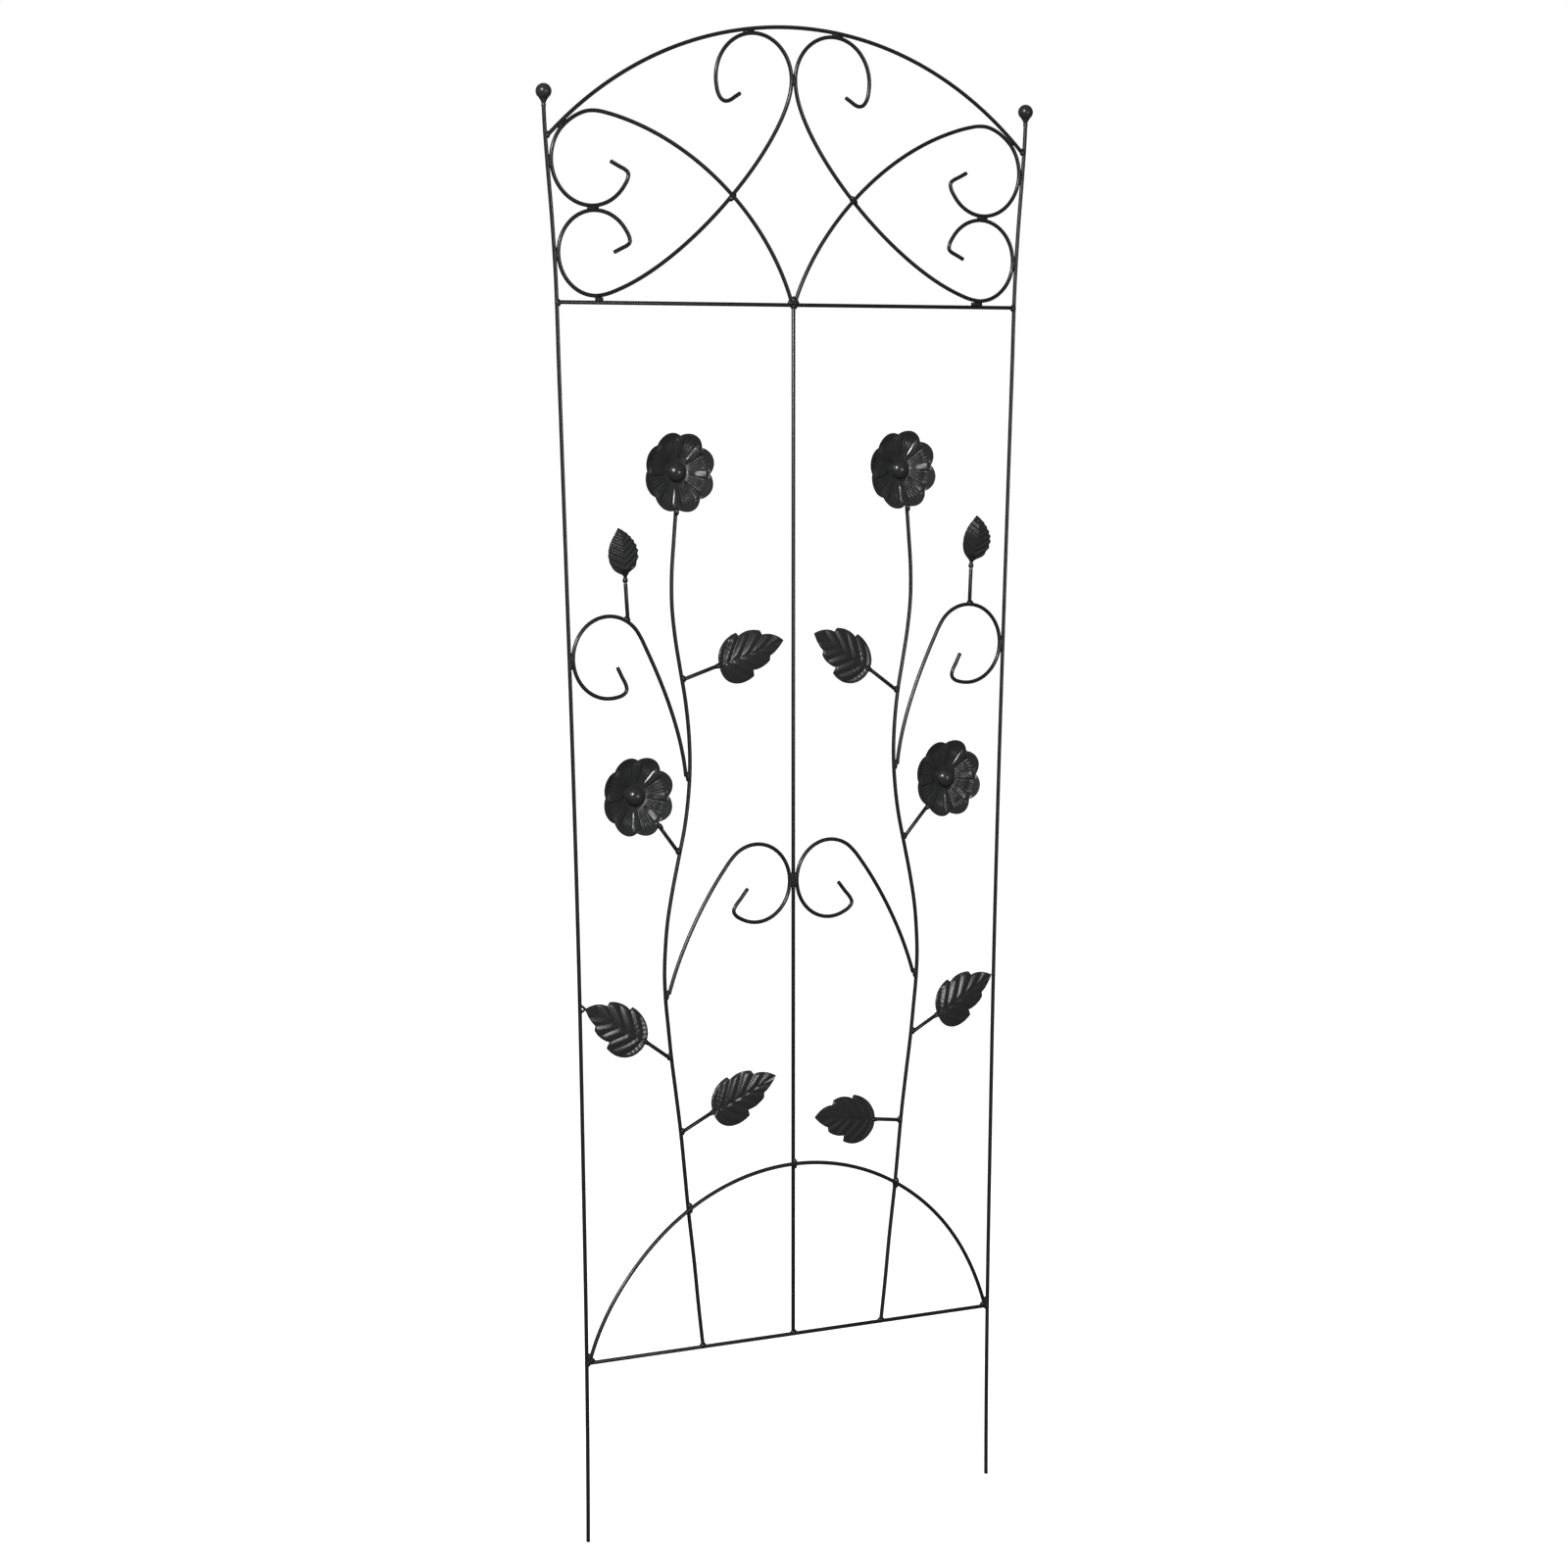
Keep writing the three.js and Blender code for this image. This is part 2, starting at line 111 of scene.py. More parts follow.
powder = {
    # the darkest and the lightest shade, on rods and welds, then on sheet and castings; one black coat
    # in two copies, the sheet and castings' copy made lighter as painted light, a painted sheen for
    # their broad faces
    "rodShades": ((0.0050, 0.0051, 0.0055, 1.0), (0.0100, 0.0102, 0.0108, 1.0)),
    # a lighter copy of the rods' black: painted sheen, not a different paint
    "paintedLighterSheetShades": ((0.0150, 0.0153, 0.0160, 1.0), (0.0240, 0.0244, 0.0255, 1.0)),
    "peel": 1.3 * mm,       # width of the orange peel's lumps
    "fleck": 0.35 * mm,     # fine grain of the powder
    "cloud": 45 * mm,       # slow change of shade along a piece
    "castLump": 4.5 * mm,   # lumps of castings and welds
    "cloudShare": 0.7,      # of a piece's change of shade
    "fleckShare": 0.3,
    "uneven": 0.08,         # how much the roughness changes with the cloud
    "specular": 0.36,
    "clearCoat": 0.12,
    "clearRoughness": 0.16,
}
# each coat's shades and roughness, and how deep its peel, fleck and lumps are
finishes = {
    "rod": ("rodShades", 0.34, 0.0020 * mm, 0.0004 * mm, 0),
    # sheet and castings take the lighter shades, a painted sheen
    "sheet": ("paintedLighterSheetShades", 0.27, 0.0010 * mm, 0.0002 * mm, 0),
    "castings": ("paintedLighterSheetShades", 0.32, 0.0040 * mm, 0.0006 * mm, 0.03 * mm),
    "welds": ("rodShades", 0.40, 0.0040 * mm, 0.0008 * mm, 0.03 * mm),
}


def powderCoat(finish):
    shades, roughness, peelDepth, fleckDepth, lumpDepth = finishes[finish]
    dark, light = powder[shades]
    coat = Coat(bpy.data.materials.new("satin black on " + finish))
    cloud = coat.grain(powder["cloud"], 3.0)
    fleck = coat.grain(powder["fleck"], 1.0)
    peel = coat.grain(powder["peel"], 2.0)
    shade = coat.node("ShaderNodeMix", {"data_type": "RGBA"}, {
        "Factor": cloud * powder["cloudShare"] + fleck * powder["fleckShare"],
        "A": dark, "B": light}, 2)
    relief = peel * peelDepth + fleck * fleckDepth
    if lumpDepth:
        relief = relief + coat.grain(powder["castLump"], 2.0) * lumpDepth
    bump = coat.node("ShaderNodeBump", {}, {"Height": relief, "Distance": 1.0, "Strength": 1.0})
    return coat.finish(
        Base_Color=shade,
        Roughness=roughness + (cloud - 0.5) * powder["uneven"],
        Specular_IOR_Level=powder["specular"],
        Coat_Weight=powder["clearCoat"],
        Coat_Roughness=powder["clearRoughness"],
        Normal=bump,
    )


rodCoat = powderCoat("rod")
sheetCoat = powderCoat("sheet")
ballCoat = powderCoat("castings")
weldCoat = powderCoat("welds")
print("coats ready")


def addPiece(name, shell, coat, nodes=(), sharp=38):
    mesh = bpy.data.meshes.new(name)
    shell.to_mesh(mesh)
    shell.free()
    mesh.materials.append(coat)
    mesh.shade_smooth()
    mesh.set_sharp_from_angle(angle=radians(sharp))
    piece = bpy.data.objects.new(name, mesh)
    bpy.context.scene.collection.objects.link(piece)
    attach(piece, root)
    if nodes:
        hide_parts(*nodes)
    return piece


def smoothStep(low, high, value):
    share = min(1.0, max(0.0, (value - low) / (high - low)))
    return share * share * (3 - 2 * share)


# The axes of a frame as the columns of a matrix.
def axes(place, first, second, third):
    turn = Matrix((first, second, third)).transposed()
    return Matrix.Translation(place) @ turn.to_4x4()


barLow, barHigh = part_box("upper_crossbar")
rods = {
    "radius": (barHigh.z - barLow.z) / 2 / cos(pi / 8),     # the part's rods have eight sides
    "sides": 14,
    "step": 2.6 * mm,      # length of one stretch of a bend
    "chamfer": 0.35 * mm,  # on the cut ends
    "ringReach": 2.05,     # the corners of one ring lie within this many radii
}
rodNames = [
    "top_arch", "upper_crossbar", "lower_crossbar", "centre_bar", "lower_arch",
    *[f"{side}_{name}" for name in (
        "post", "heart_scroll", "crown_scroll", "stem", "side_scroll", "middle_scroll",
        "lower_flower_stalk", "upper_inner_leaf_stalk", "outer_leaf_stalk",
        "lower_inner_leaf_stalk", "bud_stalk") for side in ("left", "right")],
]


# The centre of each ring of corners along a rod, found by walking out from one end.
def ringCentres(node):
    shell = bmesh.new()
    shell.from_mesh(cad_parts[node].data)
    bmesh.ops.remove_doubles(shell, verts=shell.verts, dist=0.001 * mm)
    shell.verts.ensure_lookup_table()
    seen = {shell.verts[0]}
    edge = seen
    while edge:
        last = edge
        edge = {e.other_vert(v) for v in edge for e in v.link_edges} - seen
        seen |= edge
    found = []
    for tip in sorted(last, key=lambda v: v.index):
        ring = {v for v in shell.verts if (v.co - tip.co).length < rods["ringReach"] * rods["radius"]}
        seen = set(ring)
        centres = []
        while ring:
            centres.append(sum((v.co for v in ring), Vector()) / len(ring))
            ring = {e.other_vert(v) for v in ring for e in v.link_edges} - seen
            seen |= ring
        found = max(found, centres, key=len)
    shell.free()
    return found


# A smooth line through points, cut into short stretches.
def smoothLine(points, step):
    if len(points) == 2:
        return points
    gaps = [(b - a).length for a, b in zip(points, points[1:])]
    ways = []
    for i, point in enumerate(points):
        if i == 0:
            ways.append((points[1] - point) / gaps[0])
        elif i == len(points) - 1:
            ways.append((point - points[i - 1]) / gaps[-1])
        else:
            before, after = gaps[i - 1], gaps[i]
            ways.append(((point - points[i - 1]) / before * after
                         + (points[i + 1] - point) / after * before) / (before + after))
    # an end carries on the bend of its neighbour
    ways[0] = (2 * ways[0] - ways[1]).normalized()
    ways[-1] = (2 * ways[-1] - ways[-2]).normalized()
    line = [points[0]]
    for i, gap in enumerate(gaps):
        cuts = max(1, round(gap / step))
        line += geometry.interpolate_bezier(
            points[i], points[i] + ways[i] * gap / 3,
            points[i + 1] - ways[i + 1] * gap / 3, points[i + 1], cuts + 1)[1:]
    return line


def directions(line):
    ends = [line[0], *line, line[-1]]
    return [(ends[i + 2] - ends[i]).normalized() for i in range(len(line))]


# A round rod along a line: one circle, pushed out and turned stretch by stretch.
def sweepRod(line, radius, sides):
    shell = bmesh.new()
    frames = []
    for place, way in zip(line, directions(line)):
        across = forward.cross(way).normalized()
        frames.append(axes(place, across, way.cross(across), way))
    ring = bmesh.ops.create_circle(shell, segments=sides, radius=radius, matrix=frames[0])["verts"]
    edges = list({e for v in ring for e in v.link_edges})
    startEdges = edges
    for here, there in zip(frames, frames[1:]):
        pushed = bmesh.ops.extrude_edge_only(shell, edges=edges)["geom"]
        ring = [g for g in pushed if isinstance(g, bmesh.types.BMVert)]
        edges = [g for g in pushed if isinstance(g, bmesh.types.BMEdge)
                 and g.verts[0] in ring and g.verts[1] in ring]
        bmesh.ops.transform(shell, matrix=there @ here.inverted(), verts=ring)
    for rim in (startEdges, edges):
        bmesh.ops.contextual_create(shell, geom=rim)
    bmesh.ops.bevel(shell, geom=startEdges + edges, offset=rods["chamfer"], offset_type="OFFSET",
                    affect="EDGES", segments=2, profile=0.5, material=-1)
    bmesh.ops.recalc_face_normals(shell, faces=shell.faces)
    return shell


lines = {}
for rodName in rodNames:
    lines[rodName] = smoothLine(ringCentres(rodName), rods["step"])
    shell = sweepRod(lines[rodName], rods["radius"], rods["sides"])
    addPiece(rodName + "_rod", shell, rodCoat, [rodName])
print("rods ready:", len(lines))


welds = {
    "reach": 6.4 * mm,        # two rods' centre lines this close are welded
    "spacing": 60 * mm,       # shortest distance between two welds of one pair
    "lump": 1.6 * mm,
    "roughness": 0.22 * mm,
    "blunt": 0.72,            # below 1 for blunt ends
    "bulge": (2.6, 0.38),     # powers that set how full a bead is towards its ends
    "slant": 32,              # rods at more than this angle, in degrees, cross or butt
    "crownDrop": 20 * mm,     # welds above this depth under the upper crossbar are the crown's
    # half sizes along the rods, across them and front to back, in millimetres
    "side": (6.6, 2.0, 1.75),      # between two rods that run side by side
    "cross": (5.2, 3.0, 3.7),      # where one rod passes over another
    "butt": (3.7, 3.2, 2.5),       # round the end of a rod that stands on another
    "lap": (5.0, 2.3, 2.1),        # along the end of a rod laid against another
    "pairs": {
        ("heart_scroll", "heart_scroll"): (5.8, 2.3, 1.9),
        ("post", "side_scroll"): (8.5, 2.1, 1.8),
        ("centre_bar", "middle_scroll"): (7.6, 2.1, 1.8),
        ("centre_bar", "lower_arch"): (5.2, 2.8, 3.7),
        ("lower_arch", "stem"): (5.7, 3.1, 3.7),
        ("crown_scroll", "crown_scroll"): (4.6, 3.0, 2.6),
        ("crown_scroll", "upper_crossbar"): (4.4, 3.4, 2.7),
        ("lower_arch", "post"): (5.0, 3.0, 2.4),
        ("lower_arch", "lower_crossbar"): (4.6, 3.0, 2.4),
    },
}


# An uneven bead with blunt ends; its half sizes run along three axes.
def addBead(shell, place, along, across, sizes):
    fall, power = welds["bulge"]
    front = along.cross(across).normalized()
    across = front.cross(along).normalized()
    made = bmesh.ops.create_icosphere(shell, subdivisions=3, radius=1.0)["verts"]
    for v in made:
        x, y, z = v.co
        side = hypot(y, z) or 1.0
        x = (abs(x) ** welds["blunt"]) * (1 if x > 0 else -1)
        swell = (1 - abs(x) ** fall) ** power / side if abs(x) < 1 else 0
        spot = along * (x * sizes[0] * mm) + (across * (y * swell * sizes[1])
                                              + front * (z * swell * sizes[2])) * mm
        bump = noise.noise((place + spot) / welds["lump"]) * welds["roughness"]
        v.co = place + spot + spot.normalized() * bump


# The closest places of two lines, each with the directions there.
def meetings(first, second):
    found = []
    firstWays, secondWays = directions(first), directions(second)
    close = []
    for i, a in enumerate(first):
        j = min(range(len(second)), key=lambda k: (second[k] - a).length_squared)
        close.append(((second[j] - a).length, i, j))
    for distance, i, j in sorted(close):
        if distance > welds["reach"]:
            break
        if all((first[i] - spot[0]).length > welds["spacing"] for spot in found):
            found.append((first[i], second[j], firstWays[i], secondWays[j],
                          min(i, len(first) - 1 - i) < 2, min(j, len(second) - 1 - j) < 2))
    return found


def denser(line, step):
    if len(line) > 2:
        return line
    cuts = max(2, round((line[1] - line[0]).length / step))
    return [line[0].lerp(line[1], i / cuts) for i in range(cuts + 1)]


def near(first, second):
    reach = welds["reach"]
    for axis in (0, 2):
        if min(p[axis] for p in first) > max(p[axis] for p in second) + reach:
            return False
        if min(p[axis] for p in second) > max(p[axis] for p in first) + reach:
            return False
    return True


def weldRods():
    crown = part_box("upper_crossbar")[0].z - welds["crownDrop"]
    groups = {"crown": bmesh.new(), "field": bmesh.new()}
    counts = {}
    fine = {name: denser(line, rods["step"]) for name, line in lines.items()}
    names = sorted(fine)
    for i, firstName in enumerate(names):
        for secondName in names[i + 1:]:
            if not near(fine[firstName], fine[secondName]):
                continue
            for a, b, wayA, wayB, endA, endB in meetings(fine[firstName], fine[secondName]):
                if wayA.dot(wayB) < 0:
                    wayB = -wayB
                slanted = wayA.dot(wayB) < cos(radians(welds["slant"]))
                along = (wayA + wayB).normalized()
                across = b - a
                if slanted and (endA or endB):
                    kind = "butt"
                    along, other = (wayB, wayA) if endA else (wayA, wayB)
                    across = other
                elif slanted:
                    kind = "cross"
                    along = wayA if abs(wayA.z) > abs(wayB.z) else wayB
                    across = forward.cross(along)
                else:
                    kind = "lap" if endA or endB else "side"
                middle = (a + b) / 2
                shell = groups["crown" if middle.z > crown else "field"]
                pair = tuple(sorted(name.removeprefix("left_").removeprefix("right_")
                                    for name in (firstName, secondName)))
                addBead(shell, middle, along, across, welds["pairs"].get(pair, welds[kind]))
                counts[kind] = counts.get(kind, 0) + 1
    for name, shell in groups.items():
        addPiece(name + "_welds", shell, weldCoat)
    print("welds ready:", counts)


weldRods()


finial = {
    "ballLumps": 0.10 * mm,
    "lumpSize": 3.2 * mm,
    "neckLumps": 0.15,      # in millimetres, like the neck's profile of (radius, height)
    "neckSteps": 32,
    "segments": (48, 32),   # of a ball, round it and from pole to pole
    "neck": [(1.70, -1.6), (2.25, -1.2), (2.45, 0.2), (2.15, 1.2), (2.20, 2.2),
             (2.75, 3.8), (3.55, 5.2), (4.60, 6.6)],
}


# A profile of (radius, height) in millimetres, spun round an upright line.
def spin(shell, profile, centre, steps, axis=Vector((0, 0, 1)), out=Vector((1, 0, 0))):
    corners = [shell.verts.new(centre + out * (r * mm) + axis * (h * mm)) for r, h in profile]
    edges = [shell.edges.new(pair) for pair in zip(corners, corners[1:])]
    bmesh.ops.spin(shell, geom=corners + edges, cent=centre, axis=axis, angle=2 * pi,
                   steps=steps, use_merge=True, use_duplicate=False)
    bmesh.ops.remove_doubles(shell, verts=shell.verts, dist=0.001 * mm)


def addFinial(side):
    low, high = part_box(side + "_finial_ball")
    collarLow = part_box(side + "_finial_collar")[0]
    radius = (high.x - low.x) / 2
    centre = Vector(((low.x + high.x) / 2, 0, high.z - radius))
    ball = bmesh.new()
    around, upright = finial["segments"]
    made = bmesh.ops.create_uvsphere(
        ball, u_segments=around, v_segments=upright, radius=radius)["verts"]
    bmesh.ops.translate(ball, vec=centre, verts=made)
    for v in made:
        lump = noise.noise(v.co / finial["lumpSize"])
        v.co -= (v.co - centre).normalized() * finial["ballLumps"] * (1 + lump)
    addPiece(side + "_ball", ball, ballCoat, [side + "_finial_ball"])
    neck = bmesh.new()
    base = Vector((centre.x, 0, collarLow.z))
    spin(neck, finial["neck"], base, finial["neckSteps"])
    for v in neck.verts:
        lump = noise.noise(v.co / finial["lumpSize"])
        v.co += (v.co - base).normalized() * lump * finial["neckLumps"] * mm
    bmesh.ops.holes_fill(neck, edges=neck.edges)
    bmesh.ops.recalc_face_normals(neck, faces=neck.faces)
    addPiece(side + "_neck", neck, ballCoat, [side + "_finial_collar"])


for side in ("left", "right"):
    addFinial(side)
print("finials ready")


flower = {
    "petals": 8,
    "turns": {"left_upper": -3, "right_upper": 7, "left_lower": -1, "right_lower": 4},
    "depth": 6.0,           # folds' ends in front of the middle, in millimetres like the rest
    "boss": 11.0,
    "rim": 40.5,
    "notch": 35.9,
    "rings": 34,
    "raysPerPetal": 40,
    "fluteHeight": 1.3,
    "foldHalf": 6.5,        # half width in degrees of the flat fold between two petals
    "foldEdge": 3.4,
    "ribs": [(15.5, 1.9, 0.55), (22.5, 1.8, 0.5)],      # angle from a fold, width, height
    "scoop": 0.9,           # how far a petal is hollowed before its end
    "lip": 1.8,             # how far its edge is in front of the folds
    # shares of the way from the boss to the rim between which each shape grows or fades
    "fluteGrows": (0.02, 0.35),
    "fluteFades": (0.66, 0.84),
    "scoopGrows": (0.40, 0.72),
    "scoopFades": (0.72, 1.0),
    "lipGrows": (0.62, 1.0),
    "wave": 0.5,            # height of the rim's unevenness
    "waves": 2.2,           # how many of them there are round a flower
    "waveStep": 40,         # moves the pattern from one flower to the next
    "sheet": 1.0,
    "domeSteps": 14,
    "domeFoot": (0.98, -0.6),   # share of the dome's radius, and height
    "weld": (3.6, 3.2, 2.6),
    "weldPlace": (0.5, 1.4),    # from the rod's end towards the flower, and forward
}
petalSpan = 360 / flower["petals"]


# Gives an open sheet its back face and its rim.
def thicken(shell, thickness):
    faces = shell.verts[:] + shell.edges[:] + shell.faces[:]
    made = bmesh.ops.extrude_face_region(shell, geom=faces, use_keep_orig=True)["geom"]
    back = [g for g in made if isinstance(g, bmesh.types.BMVert)]
    bmesh.ops.translate(shell, vec=-forward * thickness * mm, verts=back)
    bmesh.ops.recalc_face_normals(shell, faces=shell.faces)


# How far the sheet stands forward at a share of the radius and an angle from a fold.
def flowerRelief(share, angle):
    dish = flower["depth"] * max(0.0, share) ** 1.2
    fold = 1 - smoothStep(flower["foldHalf"], flower["foldHalf"] + flower["foldEdge"], angle)
    ribs = sum(tall * exp(-((angle - place) / wide) ** 2) for place, wide, tall in flower["ribs"])
    reach = smoothStep(*flower["fluteGrows"], share) * (1 - smoothStep(*flower["fluteFades"], share))
    petal = sin(pi / 2 * min(1.0, angle / (petalSpan / 2)))
    hollow = smoothStep(*flower["scoopGrows"], share) * (1 - smoothStep(*flower["scoopFades"], share))
    scoop = flower["scoop"] * hollow * petal ** 1.4
    lip = flower["lip"] * smoothStep(*flower["lipGrows"], share) * petal ** 0.8
    return dish + flower["fluteHeight"] * (fold + ribs) * reach - scoop + lip


def addFlower(name):
    low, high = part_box(name + "_flower_boss")
    centre = Vector(((low.x + high.x) / 2, high.y, (low.z + high.z) / 2))
    shell = bmesh.new()
    inner = flower["boss"] - 2.5
    rings = flower["rings"]
    profile = [(inner + (flower["rim"] - inner) * i / rings, 0) for i in range(rings + 1)]
    spin(shell, profile, Vector(), flower["petals"] * flower["raysPerPetal"], Vector((0, -1, 0)))
    for v in shell.verts:
        radius = v.co.length / mm
        way = v.co.normalized()
        turned = Vector((1, 0)).angle_signed(Vector((way.x, -way.z))) * 180 / pi
        degrees = (turned - flower["turns"][name]) % petalSpan
        angle = min(degrees, petalSpan - degrees)
        lobe = sin(pi * degrees / petalSpan) ** 0.8
        edge = flower["notch"] + (flower["rim"] - flower["notch"]) * lobe
        reach = inner + (edge - inner) * (radius - inner) / (flower["rim"] - inner)
        share = (reach - flower["boss"]) / (flower["rim"] - flower["boss"])
        spot = Vector((way.x, way.z, 0)) * flower["waves"] + centre * flower["waveStep"]
        wave = noise.noise(spot) * flower["wave"] * smoothStep(0, 1, share)
        v.co = way * reach * mm + forward * (flowerRelief(share, angle) + wave) * mm + centre
    thicken(shell, flower["sheet"])
    addPiece(name + "_petals", shell, sheetCoat, [name + "_flower"], 50)
    dome = bmesh.new()
    radius, height = (high.x - low.x) / 2, high.y - low.y
    steps = flower["domeSteps"]
    profile = [(radius / mm * cos(pi / 2 * i / steps), height / mm * sin(pi / 2 * i / steps))
               for i in range(steps)] + [(0, height / mm)]
    share, drop = flower["domeFoot"]
    spin(dome, [(radius / mm * share, drop)] + profile, centre, 48, forward)
    bmesh.ops.holes_fill(dome, edges=dome.edges)
    bmesh.ops.recalc_face_normals(dome, faces=dome.faces)
    addPiece(name + "_dome", dome, sheetCoat, [name + "_flower_boss"])


for name in flower["turns"]:
    addFlower(name)
print("flowers ready")


# Outlines in millimetres along the leaf and out from its middle, one curve for each lobe.
leaf = {
    "upper": [
        [(0, 0), (-1, 13), (12, 24.4), (28.6, 24.7)],
        [(30.3, 20.8), (37, 23.8), (47, 22.8), (54.9, 18.1)],
        [(56, 13.1), (62, 13.7), (72, 8.5), (77.6, 0)],
    ],
    "lower": [
        [(0, 0), (-3, 17), (14, 32), (35.8, 23.8)],
        [(36.2, 17.4), (41, 19), (51, 18.5), (57.3, 14.1)],
        [(58.7, 9.8), (63, 9.5), (72, 5), (77.6, 0)],
    ],
    "length": 77.6,
    "columns": 96,
    "rows": 36,
    "slant": 0.5,          # how far the lines from the middle lean towards the tip
    "puff": 1.2,           # swelling between the veins
    "puffWidth": 5.0,
    "puffShape": (1.6, 1.3),    # how fast the swelling grows away from a vein, and its power
    "midrib": 0.3,         # added to the distance from the middle, so that its groove is shallower
    "ripple": 0.14,        # rings round the base
    "rippleWidth": 4.4,
    "rippleFades": (17, 27),    # distances from the base
    "edgeStart": 0.86,     # share of the way out where the swelling begins to die down
    "edgeFlat": 0.8,       # how much of it has gone at the edge
    "front": 1.2,          # the whole face in front of the panel's middle
    "halfWidth": 25,
    "cup": 3.0,            # how far the edges bend back
    "droop": 1.6,          # how far the tip bends back
    "droopStart": 0.35,
    "socket": [(0, -6.5), (1.75, -6.2), (2.1, -4.0), (2.9, -1.0), (2.7, 1.2), (1.6, 3.4), (0, 4.2)],
    "sheet": 1.0,
    "touching": 4 * mm,    # from a tip to the middle of its post
    "fork": 4.5 * mm,
    "tipWeld": (1.3, 1.3),
    "endSize": 3.6 * mm,   # the corners at one end of a plate are this close together
    # each vein starts on the midrib and ends near the edge
    "veins": {
        "upper": [((5, 0), (6, 9), (17, 19)), ((12, 0), (19, 9), (30, 20)),
                  ((24, 0), (34, 9), (44, 20)), ((36, 0), (46, 7), (56, 13)),
                  ((51, 0), (59, 3), (67, 8))],
        "lower": [((5, 0), (6, 12), (17, 23)), ((11, 0), (17, 11), (31, 23)),
                  ((22, 0), (29, 9), (37, 17)), ((34, 0), (42, 7), (50, 17)),
                  ((44, 0), (51, 5), (59, 10)), ((56, 0), (62, 2), (69, 5))],
    },
}


def curvePoint(handles, share):
    a, b, c, d = (Vector(h) for h in handles)
    rest = 1 - share
    return a * rest ** 3 + b * 3 * rest ** 2 * share + c * 3 * rest * share ** 2 + d * share ** 3


# Points along a half outline at even shares of its length, with every lobe's corner kept.
def halfOutline(lobes, count):
    cuts = 24
    dense = [curvePoint(handles, i / cuts) for handles in lobes for i in range(cuts + 1)]
    lengths = [0.0]
    for a, b in zip(dense, dense[1:]):
        lengths.append(lengths[-1] + (b - a).length)
    outline = []
    k = 0
    for i in range(count + 1):
        want = lengths[-1] * i / count
        while k < len(dense) - 2 and lengths[k + 1] < want:
            k += 1
        share = (want - lengths[k]) / max(1e-9, lengths[k + 1] - lengths[k])
        outline.append(dense[k].lerp(dense[k + 1], min(1.0, share)))
    return outline


def bent(vein, steps=10):
    a, b, c = (Vector(p) for p in vein)
    points = [a * (1 - t) ** 2 + b * 2 * t * (1 - t) + c * t * t
              for t in [i / steps for i in range(steps + 1)]]
    return list(zip(points, points[1:]))


def distanceTo(stretches, spot):
    best = 1e9
    for a, b in stretches:
        run = b - a
        share = min(1.0, max(0.0, (spot - a).dot(run) / run.length_squared))
        best = min(best, (spot - a - run * share).length)
    return best


# Where a leaf begins and ends, from its node and the rod or knot that holds it.
def leafEnds(node, holder):
    corners = [v.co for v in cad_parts[node].data.vertices]
    base = min(corners, key=lambda c: (c - holder).length)
    tip = max(corners, key=lambda c: (c - holder).length)
    return middleOf(corners, base), middleOf(corners, tip)


# The middle of the corners at one end of a plate.
def middleOf(corners, spot):
    close = [c for c in corners if (c - spot).length < leaf["endSize"]]
    return sum(close, Vector()) / len(close)


# Two half outlines as a fine mesh whose rows run from the middle to the edges.
def leafGrid(upper, lower, columns, rows, slant, length):
    shell = bmesh.new()
    bmesh.ops.create_grid(shell, x_segments=columns, y_segments=rows, size=1.0)
    for v in shell.verts:
        column = round((v.co.x + 1) / 2 * columns)
        out = v.co.y
        half = upper if out > 0 else lower
        edge = half[column]
        ribStart = min(length, max(0.0, edge.x - slant * edge.y))
        foot = Vector((ribStart * smoothStep(-0.2, 0.06, column / columns), 0))
        spot = foot.lerp(edge, abs(out))
        v.co = Vector((spot.x, spot.y if out > 0 else -spot.y, abs(out)))
    return shell


def leafRelief(spot, out):
    veins = leafVeins["upper" if spot.y > 0 else "lower"]
    flat = Vector((spot.x, abs(spot.y)))
    nearest = min(min(distanceTo(vein, flat) for vein in veins), abs(spot.y) + leaf["midrib"])
    rate, power = leaf["puffShape"]
    puff = leaf["puff"] * (1 - exp(-(nearest / leaf["puffWidth"] * rate) ** power))
    span = flat.length
    ripple = leaf["ripple"] * cos(2 * pi * span / leaf["rippleWidth"]) * (
        1 - smoothStep(*leaf["rippleFades"], span))
    edge = smoothStep(leaf["edgeStart"], 1.0, out)
    cup = leaf["cup"] * (abs(spot.y) / leaf["halfWidth"]) ** 1.8
    droop = leaf["droop"] * smoothStep(leaf["droopStart"], 1.0, spot.x / leaf["length"]) ** 1.3
    return (puff + ripple) * (1 - leaf["edgeFlat"] * edge) - cup - droop + leaf["front"]


leafVeins = {half: [bent(vein) for vein in veins] for half, veins in leaf["veins"].items()}


# Puts a flat shape's x along a leaf and its y upwards, scaled to the node.
def placeLeaf(shell, base, tip, length):
    along = (tip - base).normalized()
    up = forward.cross(along).normalized()
    if up.z < 0:
        up = -up
    front = along.cross(up)
    if front.y > 0:
        front = -front
    scale = (tip - base).length / (length * mm)
    for v in shell.verts:
        v.co = base + (along * v.co.x + up * v.co.y + front * v.co.z) * mm * scale
    return along


